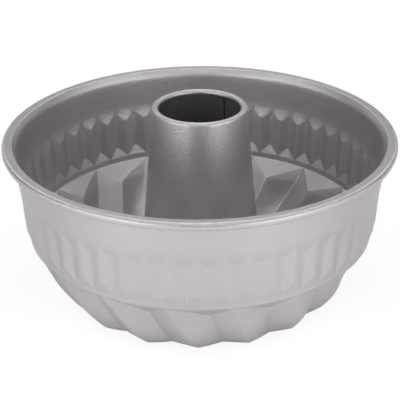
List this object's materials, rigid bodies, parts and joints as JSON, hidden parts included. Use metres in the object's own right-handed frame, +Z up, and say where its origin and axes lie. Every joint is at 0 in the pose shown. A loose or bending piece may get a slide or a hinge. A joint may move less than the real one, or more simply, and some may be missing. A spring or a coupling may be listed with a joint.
{
  "type": "fluted tube pan",
  "caption": "Round fluted ring-cake pan with pleated walls, swirling lobes, a rolled rim and a hollow conical centre tube.",
  "frame": {"origin": "on the pan's axis, in the plane that the feet of the lobes stand on", "axes": "+Z up out of the pan along the tube's axis, -Y towards the viewer of the picture, +X to the viewer's right"},
  "size_m": [0.24, 0.24, 0.1211],
  "materials": {
    "silver_coating": "satin silver-grey non-stick coating on sheet steel",
    "tube_coating": "satin silver-grey non-stick coating on sheet steel"
  },
  "bodies": {
    "root": {"fluted_bowl": "silver_coating", "centre_tube": "tube_coating"}
  },
  "joints": []
}
